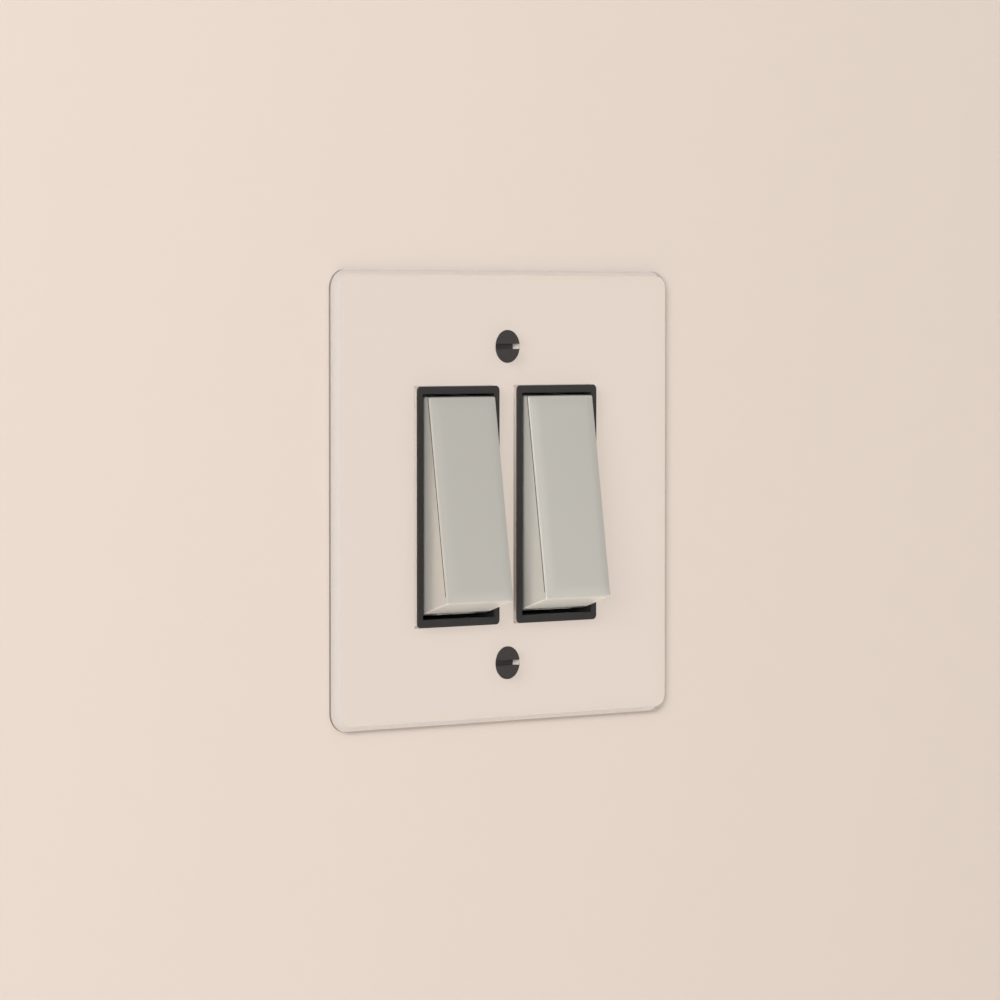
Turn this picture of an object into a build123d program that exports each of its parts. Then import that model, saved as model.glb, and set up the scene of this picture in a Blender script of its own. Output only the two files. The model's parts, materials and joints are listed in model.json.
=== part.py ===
"""Double rocker wall switch on a clear square plate, built as separate solids.

Sizes are in millimetres. The plate stands upright and faces -Y, +Z is up and +X is to the right
as seen from the front. The origin lies on the wall plane, midway between the two fixing screws.
Depth means the Y coordinate, which grows into the wall.
"""

import math
import os

from build123d import *

# Clear plate
plate_side = 86.0
plate_thick = 2.2
plate_corner = 3.6
plate_bevel = 1.0
plate_rise = 1.6

# Fixing screws of the plate
fixing_centres = 60.3
screw_shank_radius = 1.75
screw_neck_radius = 1.55
screw_head_radius = 3.1
screw_head_rim = 0.25
screw_reach = 19.0
screw_slot_wide = 1.0
screw_slot_deep = 1.05
screw_hole_clearance = 0.25
countersink_clearance = 0.05

# Switch housing and its visible frame
frame_spacing = 4.45
frame_proud = 0.3
frame_corner = 0.9
frame_edge = 0.15
frame_bar_side = 1.4
frame_bar_end = 1.5
opening_edge = 0.12
housing_wall = 0.9
cutout_clearance = 0.1
cutout_chamfer = 0.6
ledge_deep = 1.6
ledge_reach = 2.4
stop_clearance = 0.18

# Snap tongues that hold the housing in the plate
tongue_wide = 8.0
tongue_long = 8.0
tongue_slit = 0.7
tongue_tip = 0.9
nose_clearance = 0.15
nose_reach = 0.5
nose_ramp = 2.0

# Rocker cap
rocker_swing_angle = 15.2
pivot_depth = 4.0
cap_wide = 16.85
cap_side_clearance = 0.65
cap_end_clearance = 0.165
cap_long = 38.95
cap_skirt = 7.8
cap_draft_angle = 10.5
rim_above_pivot = 2.3
cap_sheet = 0.8
cap_edge = 0.25
seam_below_face = 0.32
seam_size = 0.16
seam_stop = 1.4

# Rocker carrier inside the cap
carrier_clearance = 0.1
carrier_end_clearance = 0.2
carrier_skirt_step = 0.6
carrier_rib = 1.3
web_long = 14.0
web_foot = 5.0
hub_clearance = 0.2
hub_rim_clearance = 0.3
pin_radius = 1.5
pin_clearance = 0.05
pin_short = 0.2
stem_wide = 5.4
stem_long = 4.4

# Plunger and its spring
plunger_radius = 1.5
plunger_clearance = 0.05
plunger_tip_radius = 0.5
plunger_shoulder = 1.4
guide_radius = 0.6
guide_long = 1.6
bore_above_pivot = 4.7
spring_wire = 0.36
spring_radius = 1.1
spring_turns = 5
spring_sides = 8
spring_end_clearance = 0.05

# Contact bar and contact tips
bar_front_depth = 10.6
bar_thick = 0.8
bar_margin = 0.5
bar_wide = 5.0
bar_corner = 1.5
bar_tilt_angle = 4.0
bar_tip_clearance = 0.1
fulcrum_radius = 0.6
fulcrum_clearance = 0.05
fulcrum_cover = 0.45
saddle_high = 2.8
tip_place = 7.0
tip_radius = 1.1
tip_thick = 0.5
fixed_tip_radius = 1.3
fixed_tip_thick = 0.7
contact_clearance = 0.06

# Terminal base
base_thick = 2.5
base_rim_deep = 1.5
base_rim_thick = 1.0
base_rim_clearance = 0.1
catch_wide = 4.0
catch_place = 14.0
catch_deep = 0.6
catch_clearance = 0.1
barrier_thick = 1.2
barrier_deep = 8.0
barrier_wide = 18.0
barrier_corner = 2.0
slot_clearance = 0.1

# Terminals and their screws
terminal_pitch = 14.0
terminal_wide = 9.0
terminal_high = 9.0
terminal_deep = 7.5
terminal_edge = 0.5
wire_radius = 2.0
wire_depth = 3.0
blade_thick = 0.8
blade_wide = 6.0
blade_tail = 1.8
leg_thick = 1.0
leg_inset = 0.5
post_thick = 1.0
clamp_radius = 1.6
clamp_clearance = 0.05
clamp_proud = 1.6
clamp_slot_wide = 0.8
clamp_slot_deep = 0.9
clamp_wire_gap = 0.2

# How far cutting tools run past what they cut, and joined pieces run into each other
overrun = 1.0
overlap = 0.1

# Rocker, measured from its pivot
half_swing = rocker_swing_angle / 2
swing_sine = math.sin(math.radians(half_swing))
swing_cosine = math.cos(math.radians(half_swing))
draft_slope = math.tan(math.radians(cap_draft_angle))
cap_height = rim_above_pivot + cap_skirt
cap_half = cap_long / 2
cap_base_half = cap_half + cap_skirt * draft_slope
cap_inner_half = cap_half + cap_sheet * draft_slope - cap_sheet / math.cos(math.radians(cap_draft_angle))
skirt_depth = cap_base_half * swing_sine - rim_above_pivot * swing_cosine
skirt_reach = math.hypot(cap_base_half, rim_above_pivot)
hub_radius = rim_above_pivot - hub_rim_clearance
plunger_reach = bar_front_depth - pivot_depth - bar_tip_clearance

# Frame and housing round the swinging cap
opening_wide = cap_wide + 2 * cap_side_clearance
opening_high = 2 * (skirt_reach + cap_end_clearance)
frame_wide = opening_wide + 2 * frame_bar_side
frame_high = opening_high + 2 * frame_bar_end
module_pitch = frame_wide + frame_spacing
body_wide = opening_wide + 2 * housing_wall
body_high = opening_high + 2 * housing_wall
cutout_wide = body_wide + 2 * cutout_clearance
cutout_high = body_high + 2 * cutout_clearance
plate_front = -plate_thick
frame_front = plate_front - frame_proud

# Depths behind the plate, from the contact bar to the screw terminals
fulcrum_depth = bar_front_depth + fulcrum_cover + fulcrum_radius + fulcrum_clearance
bar_back_depth = bar_front_depth + bar_thick
tip_face = bar_back_depth + tip_thick - fulcrum_depth
tip_corner = tip_place + tip_radius
bar_long = 2 * (tip_corner + bar_margin)
tilt = math.radians(bar_tilt_angle)
tip_travel = tip_face * math.cos(tilt) + tip_corner * math.sin(tilt)
fixed_face = fulcrum_depth + tip_travel + contact_clearance
blade_front = fixed_face + fixed_tip_thick
base_front = blade_front + blade_thick
base_back = base_front + base_thick
wire_centre = base_back + wire_depth
terminal_back = base_back + terminal_deep
leg_place = terminal_pitch - terminal_high / 2 + leg_inset + leg_thick / 2


def slab(wide, high, corner, front, back):
    """An upright slab with rounded corners between two depths."""
    return Pos(0, back, 0) * Rot(90, 0, 0) * extrude(RectangleRounded(wide, high, corner), amount=back - front)


def block(wide, front, back, low, high):
    """A block centred across the module, between two depths and two heights."""
    return Pos(0, (front + back) / 2, (low + high) / 2) * Box(wide, back - front, high - low)


def across(points, wide):
    """A prism along X whose outline is given as depth and height pairs."""
    outline = Polyline([(0, depth, height) for depth, height in points], close=True)
    return extrude(make_face(outline), amount=wide / 2, both=True)


def rod_across(radius, wide, depth=0.0):
    """A round rod along X, centred on the module."""
    return Pos(0, depth, 0) * Rot(0, 90, 0) * Cylinder(radius, wide)


def rod_inward(radius, front, back):
    """A round rod along Y between two depths."""
    return Pos(0, (front + back) / 2, 0) * Rot(-90, 0, 0) * Cylinder(radius, back - front)


def turned(profile):
    """A solid turned about Y from a half profile of radius and depth pairs that ends on the axis."""
    return revolve(make_face(Polyline(profile, close=True)), Axis.Y)


def mirrored_ends(shape):
    """The shape and its copy at the other end of the module, upside down."""
    return [shape, Rot(0, 180, 0) * shape]


# Clear plate and its screws

def make_plate():
    """Square plate with bevelled front edges, two cut-outs and two countersunk holes."""
    plate = Pos(0, 0, plate_rise) * slab(plate_side, plate_side, plate_corner, plate_front, 0)
    plate = chamfer(plate.faces().sort_by(Axis.Y)[0].edges(), plate_bevel)
    cutout = block(cutout_wide, plate_front - overrun, overrun, -cutout_high / 2, cutout_high / 2)
    # The upper and lower edges of a cut-out are chamfered at the back for the housing's snap noses.
    mouth_half = cutout_high / 2 + cutout_chamfer + overrun
    mouth = across([
        (-cutout_chamfer, -cutout_high / 2),
        (-cutout_chamfer, cutout_high / 2),
        (overrun, mouth_half),
        (overrun, -mouth_half),
    ], cutout_wide)
    for side in (-1, 1):
        plate -= Pos(side * module_pitch / 2, 0, 0) * (cutout + mouth)
    hole = screw_shank_radius + screw_hole_clearance
    sink = screw_head_radius + countersink_clearance
    sink_front = plate_front + screw_head_rim + countersink_clearance
    screw_hole = turned([
        (0, plate_front - overrun),
        (sink, plate_front - overrun),
        (sink, sink_front),
        (hole, sink_front + sink - hole),
        (hole, overrun),
        (0, overrun),
    ])
    for end in (-1, 1):
        plate -= Pos(0, 0, end * fixing_centres / 2) * screw_hole
    return plate


def make_plate_screw():
    """Countersunk slotted screw whose head lies flush with the plate's face."""
    cone_front = plate_front + screw_head_rim
    screw = turned([
        (0, plate_front),
        (screw_head_radius, plate_front),
        (screw_head_radius, cone_front),
        (screw_neck_radius, cone_front + screw_head_radius - screw_neck_radius),
        (screw_neck_radius, 0),
        (screw_shank_radius, 0),
        (screw_shank_radius, screw_reach),
        (0, screw_reach),
    ])
    slot_back = plate_front + screw_slot_deep
    return screw - block(2 * screw_head_radius + overrun, plate_front - overrun, slot_back,
                         -screw_slot_wide / 2, screw_slot_wide / 2)


# Fixed pieces of a module, built about its own centre line

def make_housing():
    """Open black moulding with the visible frame, bearings, stop ledges, snap tongues and catch windows."""
    frame = slab(frame_wide, frame_high, frame_corner, frame_front, plate_front)
    frame = chamfer(frame.faces().sort_by(Axis.Y)[0].edges(), frame_edge)
    housing = frame + block(body_wide, plate_front, base_front, -body_high / 2, body_high / 2)
    # Stop ledges meet the skirt of the cap at each end of the swing.
    opening = block(opening_wide, frame_front - overrun, base_front + overrun,
                    -opening_high / 2, opening_high / 2)
    ledge_front = pivot_depth + skirt_depth + stop_clearance
    for end in (-1, 1):
        inner = end * (opening_high / 2 - ledge_reach)
        outer = end * opening_high / 2
        ledge = block(opening_wide, ledge_front, ledge_front + ledge_deep, min(inner, outer), max(inner, outer))
        opening -= ledge
    housing -= opening
    mouth = housing.faces().sort_by(Axis.Y)[0].inner_wires()[0]
    housing = chamfer(mouth.edges(), opening_edge)
    # Slits free a tongue in each end wall, and its nose lies in the chamfered back edge of the cut-out.
    wall = body_high / 2
    slit_wide = tongue_wide + 2 * tongue_slit
    free_end = nose_clearance + cutout_clearance - cutout_chamfer - tongue_tip
    window = block(slit_wide, free_end - tongue_slit, free_end + tongue_long,
                   wall - ledge_reach - overrun, wall + overrun)
    tongue_root = free_end + tongue_long + overlap
    tongue = block(tongue_wide, free_end, tongue_root, wall - housing_wall, wall)
    nose_front = nose_clearance + cutout_clearance - cutout_chamfer
    nose_back = nose_front + 2 * nose_reach
    nose = across([
        (nose_front - overlap, wall - overlap),
        (nose_front + nose_reach, wall + nose_reach),
        (nose_back, wall + nose_reach),
        (nose_back + nose_ramp, wall),
        (nose_back + nose_ramp, wall - overlap),
    ], tongue_wide)
    for cut, added in zip(mirrored_ends(window), mirrored_ends(tongue + nose)):
        housing = housing - cut + added
    # Bearings of the rocker's pins go right through the side walls.
    housing -= rod_across(pin_radius + pin_clearance, 2 * body_wide, pivot_depth)
    # Windows take the catches of the base.
    middle = base_front - base_rim_deep / 2
    deep = catch_deep / 2 + catch_clearance
    half = catch_wide / 2 + catch_clearance
    catch_window = block(2 * body_wide, middle - deep, middle + deep, catch_place - half, catch_place + half)
    for cut in mirrored_ends(catch_window):
        housing -= cut
    return housing


def make_base():
    """Back cover with a rim inside the housing, slots for the terminals and barriers between them."""
    base = block(body_wide, base_front, base_back, -body_high / 2, body_high / 2)
    rim_wide = opening_wide - 2 * base_rim_clearance
    rim_high = opening_high - 2 * base_rim_clearance
    rim_front = base_front - base_rim_deep
    rim = block(rim_wide, rim_front, base_front, -rim_high / 2, rim_high / 2)
    hollow_half = rim_high / 2 - base_rim_thick
    hollow = block(rim_wide - 2 * base_rim_thick, rim_front - overrun, base_front, -hollow_half, hollow_half)
    base += rim - hollow
    middle = base_front - base_rim_deep / 2
    catch_reach = body_wide - 2 * catch_clearance
    catch = block(catch_reach, middle - catch_deep / 2, middle + catch_deep / 2,
                  catch_place - catch_wide / 2, catch_place + catch_wide / 2)
    for piece in mirrored_ends(catch - hollow):
        base += piece
    slot_wide = blade_wide + 2 * slot_clearance
    for place, thick in ((-leg_place, leg_thick), (0, post_thick), (leg_place, leg_thick)):
        half = thick / 2 + slot_clearance
        base -= block(slot_wide, base_front - overrun, base_back + overrun, place - half, place + half)
    # Barriers stand on both sides of each terminal, with their far corners cut off.
    fin = Pos(0, barrier_deep / 2 - overlap) * Rectangle(barrier_wide, barrier_deep)
    fin = chamfer(fin.vertices().group_by(Axis.Y)[-1], barrier_corner)
    barrier = Pos(0, base_back, -barrier_thick / 2) * extrude(fin, amount=barrier_thick)
    inner_row = terminal_pitch / 2
    outer_row = (body_high - barrier_thick) / 2
    for place in (-outer_row, -inner_row, inner_row, outer_row):
        base += Pos(0, 0, place) * barrier
    return base


def make_terminal_block():
    """Brass block with a wire hole across it and a screw hole from the back."""
    half = terminal_high / 2
    body = block(terminal_wide, base_back, terminal_back, -half, half)
    body = chamfer(body.faces().sort_by(Axis.Y)[-1].edges(), terminal_edge)
    body -= rod_across(wire_radius, 2 * terminal_wide, wire_centre)
    return body - rod_inward(clamp_radius + clamp_clearance, wire_centre, terminal_back + overrun)


def make_common_terminal():
    """Common terminal whose post carries the round fulcrum of the contact bar."""
    post = block(blade_wide, fulcrum_depth, base_back + overlap, -post_thick / 2, post_thick / 2)
    return make_terminal_block() + post + rod_across(fulcrum_radius, blade_wide, fulcrum_depth)


def make_switched_terminal():
    """Upper switched terminal: its strip goes through the base and turns towards the contact bar."""
    leg_out = leg_place + leg_thick / 2
    leg_in = leg_place - leg_thick / 2
    blade_end = tip_place - blade_tail
    strip = across([
        (blade_front, blade_end),
        (base_front, blade_end),
        (base_front, leg_in),
        (base_back + overlap, leg_in),
        (base_back + overlap, leg_out),
        (blade_front, leg_out),
    ], blade_wide)
    return Pos(0, 0, terminal_pitch) * make_terminal_block() + strip


def make_terminal_screw():
    """Slotted clamp screw of one diameter that stops short of the wire hole."""
    top = terminal_back + clamp_proud
    screw = rod_inward(clamp_radius, wire_centre + wire_radius + clamp_wire_gap, top)
    return screw - block(2 * clamp_radius + overrun, top - clamp_slot_deep, top + overrun,
                         -clamp_slot_wide / 2, clamp_slot_wide / 2)


def make_fixed_tip():
    """Silver button on the upper blade."""
    return Pos(0, 0, tip_place) * rod_inward(fixed_tip_radius, fixed_face, blade_front)


# See-saw contact, built level and then tilted about its fulcrum

def make_contact_bar():
    """Strip with cut-off corners and a saddle that rides on the fulcrum."""
    strip = chamfer(Rectangle(bar_wide, bar_long).vertices(), bar_corner)
    bar = Pos(0, bar_back_depth, 0) * Rot(90, 0, 0) * extrude(strip, amount=bar_thick)
    bar += block(bar_wide, bar_back_depth - overlap, fulcrum_depth, -saddle_high / 2, saddle_high / 2)
    return bar - rod_across(fulcrum_radius + fulcrum_clearance, 2 * bar_wide, fulcrum_depth)


def make_moving_tip():
    """Silver button on the upper end of the bar."""
    return Pos(0, 0, tip_place) * rod_inward(tip_radius, bar_back_depth, bar_back_depth + tip_thick)


def tilt_bar(shape):
    """Turns a piece of the bar about the fulcrum into its resting tilt."""
    return Pos(0, fulcrum_depth, 0) * Rot(bar_tilt_angle, 0, 0) * Pos(0, -fulcrum_depth, 0) * shape


# Rocker pieces, built level with depth 0 on the pivot axis

def make_cap():
    """Sheet cap with drafted ends, cut-off corners, a rounded face and a fine seam on each long side."""
    form = across([
        (-cap_height, -cap_half),
        (-cap_height, cap_half),
        (-rim_above_pivot, cap_base_half),
        (-rim_above_pivot, -cap_base_half),
    ], cap_wide)
    cap = offset(form, amount=-cap_sheet, openings=form.faces().sort_by(Axis.Y)[-1])
    ends = cap.faces().sort_by(Axis.Z)
    corners = (ends[0].edges() + ends[-1].edges()).filter_by(Axis.X, reverse=True)
    cap = chamfer(corners, cap_edge)
    cap = fillet(cap.faces().sort_by(Axis.Y)[0].edges(), cap_edge)
    seam_front = seam_below_face - cap_height
    seam = block(2 * cap_wide, seam_front, seam_front + seam_size, seam_stop - cap_half, cap_half + overrun)
    return cap - (seam - block(cap_wide - 2 * seam_size, -cap_height, 0, -cap_long, cap_long))


def make_carrier():
    """Moulding inside the cap with ribbed pockets, a hub, two pivot pins and the plunger tube."""
    wide = cap_wide - 2 * (cap_sheet + carrier_clearance)
    half = cap_inner_half - carrier_end_clearance
    top = cap_sheet - cap_height
    under = -rim_above_pivot - carrier_skirt_step
    carrier = block(wide, top, under, -half, half)
    pocket_low = web_long / 2 + carrier_rib
    pocket = block(wide - 2 * carrier_rib, top + carrier_rib, under + overrun, pocket_low, half - carrier_rib)
    rib = block(carrier_rib, top, under, pocket_low, half - carrier_rib)
    for cut in mirrored_ends(pocket - rib):
        carrier -= cut
    carrier += across([
        (under - overlap, -web_long / 2),
        (under - overlap, web_long / 2),
        (0, web_foot / 2),
        (0, -web_foot / 2),
    ], wide)
    carrier += rod_across(hub_radius, opening_wide - 2 * hub_clearance)
    carrier += rod_across(pin_radius, body_wide - 2 * pin_short)
    carrier += block(stem_wide, 0, stem_long, -stem_wide / 2, stem_wide / 2)
    return carrier - rod_inward(plunger_radius + plunger_clearance, -bore_above_pivot, stem_long + overrun)


def make_plunger():
    """Blunt-nosed pin with a guide for the spring, sliding in the carrier's tube."""
    guide_end = plunger_shoulder - guide_long
    nose = plunger_reach - (plunger_radius - plunger_tip_radius)
    return turned([
        (0, guide_end),
        (guide_radius, guide_end),
        (guide_radius, plunger_shoulder),
        (plunger_radius, plunger_shoulder),
        (plunger_radius, nose),
        (plunger_tip_radius, plunger_reach),
        (0, plunger_reach),
    ])


def make_spring():
    """Open coil of square wire between the plunger's shoulder and the end of the tube."""
    room = bore_above_pivot + plunger_shoulder
    height = room - spring_wire - 2 * spring_end_clearance
    steps = spring_turns * spring_sides
    points = []
    for step in range(steps + 1):
        angle = 2 * math.pi * step / spring_sides
        rise = height * step / steps
        points.append((spring_radius * math.cos(angle), spring_radius * math.sin(angle), rise))
    path = Polyline(points)
    wire = Plane(origin=path @ 0, z_dir=path % 0) * Rectangle(spring_wire, spring_wire)
    coil = sweep(wire, path=path, transition=Transition.RIGHT)
    start = plunger_shoulder - spring_wire / 2 - spring_end_clearance
    return Pos(0, start, 0) * Rot(90, 0, 0) * coil


def seat_rocker(shape):
    """Sets a rocker piece on the pivot with its lower end swung out."""
    return Pos(0, pivot_depth, 0) * Rot(-half_swing, 0, 0) * shape


# Assembly
screw = make_plate_screw()
pieces = {
    "face_plate": make_plate(),
    "plate_screws": Compound(children=[Pos(0, 0, end * fixing_centres / 2) * screw for end in (1, -1)]),
}
upper_terminal, lower_terminal = mirrored_ends(make_switched_terminal())
module = {
    "housing": make_housing(),
    "base": make_base(),
    "common_terminal": make_common_terminal(),
    "upper_terminal": upper_terminal,
    "lower_terminal": lower_terminal,
    "contact_bar": tilt_bar(make_contact_bar()),
    "rocker_cap": seat_rocker(make_cap()),
    "rocker_carrier": seat_rocker(make_carrier()),
    "plunger": seat_rocker(make_plunger()),
    "plunger_spring": seat_rocker(make_spring()),
}
terminal_screw = make_terminal_screw()
terminal_screws = []
for name, side in (("left", -1), ("right", 1)):
    place = Pos(side * module_pitch / 2, 0, 0)
    for piece, shape in module.items():
        pieces[f"{name}_{piece}"] = place * shape
    fixed_tips = [place * tip for tip in mirrored_ends(make_fixed_tip())]
    moving_tips = [place * tilt_bar(tip) for tip in mirrored_ends(make_moving_tip())]
    pieces[f"{name}_fixed_tips"] = Compound(children=fixed_tips)
    pieces[f"{name}_moving_tips"] = Compound(children=moving_tips)
    for row in (1, 0, -1):
        terminal_screws.append(place * Pos(0, 0, row * terminal_pitch) * terminal_screw)
pieces["terminal_screws"] = Compound(children=terminal_screws)

os.makedirs("parts", exist_ok=True)
for name, shape in pieces.items():
    export_step(shape, f"parts/{name}.step")
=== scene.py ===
"""Looks of the double rocker wall switch, laid out as a Blender add-on and run as a script."""

import json
import math

import bmesh
import bpy
import numpy as np
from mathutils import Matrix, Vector


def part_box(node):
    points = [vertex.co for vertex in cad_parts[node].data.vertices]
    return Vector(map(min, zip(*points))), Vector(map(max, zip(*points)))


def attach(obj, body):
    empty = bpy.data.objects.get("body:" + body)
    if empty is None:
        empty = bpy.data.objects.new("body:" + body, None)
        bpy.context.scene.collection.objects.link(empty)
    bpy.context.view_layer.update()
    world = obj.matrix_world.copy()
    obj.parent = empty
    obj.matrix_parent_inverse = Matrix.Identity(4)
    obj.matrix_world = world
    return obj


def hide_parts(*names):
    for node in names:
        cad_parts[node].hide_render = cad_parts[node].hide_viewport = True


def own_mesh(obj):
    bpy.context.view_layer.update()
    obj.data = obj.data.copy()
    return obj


bl_info = {
    "name": "Double rocker wall switch",
    "version": (1, 0, 0),
    "blender": (4, 5, 0),
    "location": "3D View > Sidebar > Switch",
    "description": "Finishes, stage and camera for a double rocker switch on a clear plate",
    "category": "Object",
}

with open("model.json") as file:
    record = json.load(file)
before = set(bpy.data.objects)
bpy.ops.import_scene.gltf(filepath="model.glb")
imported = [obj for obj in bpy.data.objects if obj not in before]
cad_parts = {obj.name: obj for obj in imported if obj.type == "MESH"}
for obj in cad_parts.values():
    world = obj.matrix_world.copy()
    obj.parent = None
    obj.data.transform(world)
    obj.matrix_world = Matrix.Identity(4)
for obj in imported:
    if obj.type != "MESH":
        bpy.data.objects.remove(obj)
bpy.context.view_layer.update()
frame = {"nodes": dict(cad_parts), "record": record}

MM = 0.001
SIDES = ("left", "right")

# Points closer than the first are one, within the second of a plane on it, and within the third not cut.
MERGE_DISTANCE = 0.0005 * MM
PLANE_DISTANCE = 0.001 * MM
CUT_DISTANCE = 0.0001 * MM

# Edges that turn by less than these shade smoothly, on turned pieces and on the pressed faces.
ROUND_ANGLE = math.radians(35)
PRESSED_ANGLE = math.radians(4)

ACRYLIC_IOR = 1.49
PLASTIC_IOR = 1.5
SENSOR_WIDTH = 36


def linear(code):
    """Turns an sRGB hex colour into linear red, green and blue: the sRGB curve undone for each channel."""
    values = np.array([int(code[place:place + 2], 16) for place in (1, 3, 5)]) / 255
    curved = ((values + 0.055) / 1.055) ** 2.4
    return tuple(float(value) for value in np.where(values <= 0.04045, values / 12.92, curved))


def opaque(colour):
    """A colour property with full alpha, as a shader's socket takes it."""
    return (colour[0], colour[1], colour[2], 1.0)


def shaded(colour, factor):
    """A colour property made darker or lighter by a factor, with full alpha."""
    return (colour[0] * factor, colour[1] * factor, colour[2] * factor, 1.0)


def per_metre(millimetres):
    """The texture scale whose features are about that many millimetres apart."""
    return 1000 / millimetres


def add(tree, kind, inputs=None, **settings):
    """Adds a node with its settings, and fills each named input with a value or a link from a socket."""
    node = tree.nodes.new(kind)
    for key, value in settings.items():
        setattr(node, key, value)
    for key, value in (inputs or {}).items():
        if isinstance(value, bpy.types.NodeSocket):
            tree.links.new(value, node.inputs[key])
        else:
            node.inputs[key].default_value = value
    return node


def empty_material(name):
    """A material with a bare node tree."""
    material = bpy.data.materials.new(name)
    material.use_nodes = True
    material.node_tree.nodes.clear()
    return material


def dress(nodes, material):
    """Gives CAD nodes a material in every slot."""
    for name in nodes:
        piece = frame["nodes"][name]
        piece.data.materials.clear()
        piece.data.materials.append(material)


def linked_object(name, mesh):
    """An object that holds a mesh, put into the scene."""
    piece = bpy.data.objects.new(name, mesh)
    bpy.context.scene.collection.objects.link(piece)
    return piece


def mesh_points(mesh):
    """The places of a mesh's points, one row for each."""
    flat = np.empty(3 * len(mesh.vertices))
    mesh.vertices.foreach_get("co", flat)
    return flat.reshape(-1, 3)


def colour_property(name, description, code):
    """A colour property whose default is an sRGB hex value."""
    return bpy.props.FloatVectorProperty(
        name=name, description=description, subtype="COLOR", size=3, min=0, max=1, default=linear(code))


class SwitchPlateLooks(bpy.types.PropertyGroup):
    """Finish of the clear plate and its two screws."""

    acrylic_tint: colour_property("Acrylic tint", "Colour of light through the plate", "#FDFCFA")
    acrylic_roughness: bpy.props.FloatProperty(
        name="Acrylic roughness", description="Polish of the plate's faces", default=0.02, min=0, max=1)
    edge_haze: colour_property("Edge haze", "Faint grey haze of the polished bevel and edges", "#C0BFBE")
    edge_haze_share: bpy.props.FloatProperty(
        name="Edge haze share", description="How much the haze hides at the edges",
        default=0.3, min=0, max=1)
    cut_edge: colour_property("Cut edge", "Matt walls of the cut-outs and screw holes", "#C2B7AF")
    # Painted contact shadow: grey, width and share of the dark line painted round the back of the outer
    # edge.
    contact_shadow_grey: colour_property("Painted contact shadow grey", "Dark line where the edge meets the back", "#6E6660")
    contact_shadow_width: bpy.props.FloatProperty(
        name="Painted contact shadow width", description="Width of the dark line round the back",
        default=0.5 * MM, unit="LENGTH")
    contact_shadow_share: bpy.props.FloatProperty(
        name="Painted contact shadow share", description="How much the dark line hides", default=0.75, min=0, max=1)
    edge_shade: bpy.props.FloatProperty(
        name="Edge shade", description="Share of light turned aside on its way in through an edge",
        default=0.95, min=0, max=1)
    screw_black: colour_property("Screw black", "Blackened steel of the fixing screws", "#34302F")
    screw_centres: bpy.props.FloatProperty(
        name="Screw centres", description="Distance between the two fixing screws",
        default=60.3 * MM, unit="LENGTH")
    thread_pitch: bpy.props.FloatProperty(
        name="Thread pitch", description="Distance between turns of the screw thread",
        default=0.6 * MM, unit="LENGTH")
    thread_depth: bpy.props.FloatProperty(
        name="Thread depth", description="Depth of the screw thread", default=0.37 * MM, unit="LENGTH")
    shank_radius: bpy.props.FloatProperty(
        name="Shank radius", description="Radius over the screw thread", default=1.75 * MM, unit="LENGTH")
    turning_pitch: bpy.props.FloatProperty(
        name="Turning pitch", description="Spacing of the turned rings on the screw heads",
        default=0.45 * MM, unit="LENGTH")


class SwitchRockerLooks(bpy.types.PropertyGroup):
    """Finish of the rocker caps and the moulding inside them."""

    nickel: colour_property("Nickel", "Satin nickel of the rocker caps", "#C5C2BA")
    nickel_roughness: bpy.props.FloatProperty(
        name="Nickel roughness", description="Softness of reflections in the caps",
        default=0.36, min=0, max=1)
    nickel_metallic: bpy.props.FloatProperty(
        name="Nickel metallic", description="How much of the satin plate reflects as plain metal",
        default=0.45, min=0, max=1)
    seam_depth: bpy.props.FloatProperty(
        name="Seam depth", description="How far the seam round a cap lies behind its face",
        default=0.42 * MM, unit="LENGTH")
    seam_width: bpy.props.FloatProperty(
        name="Seam width", description="Width of the seam round a cap", default=0.16 * MM, unit="LENGTH")
    face_height: bpy.props.FloatProperty(
        name="Face height", description="Distance of a cap's face from its pivot",
        default=10.1 * MM, unit="LENGTH")
    face_length: bpy.props.FloatProperty(
        name="Face length", description="Length of a cap's face", default=38.95 * MM, unit="LENGTH")
    seam_stop: bpy.props.FloatProperty(
        name="Seam stop", description="How far the seam stops short of a cap's lower end",
        default=1.4 * MM, unit="LENGTH")
    fall_width: bpy.props.FloatProperty(
        name="Edge fall width", description="How far in from its edges a face starts to fall away",
        default=2.6 * MM, unit="LENGTH")
    face_rise: bpy.props.FloatProperty(
        name="Face rise", description="How far the middle of a face stands above its edges",
        default=0.4 * MM, unit="LENGTH")
    edge_radius: bpy.props.FloatProperty(
        name="Edge radius", description="Radius of the rounded edges of a face",
        default=0.25 * MM, unit="LENGTH")
    grain_width: bpy.props.FloatProperty(
        name="Grain width", description="Width of the brushed lines", default=0.35 * MM, unit="LENGTH")
    grain_length: bpy.props.FloatProperty(
        name="Grain length", description="Length of the brushed lines", default=22 * MM, unit="LENGTH")


class SwitchMouldingLooks(bpy.types.PropertyGroup):
    """Finish of the moulded pieces."""

    frame_black: colour_property("Frame black", "Black moulding of the frames", "#2A2928")
    base_grey: colour_property("Base grey", "Grey moulding of the terminal bases", "#6A6B6D")
    nylon_white: colour_property("Nylon white", "Nylon of the plungers", "#E3E0D6")
    spark_size: bpy.props.FloatProperty(
        name="Spark texture", description="Size of the fine matt texture of the mould",
        default=0.3 * MM, unit="LENGTH")


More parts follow.
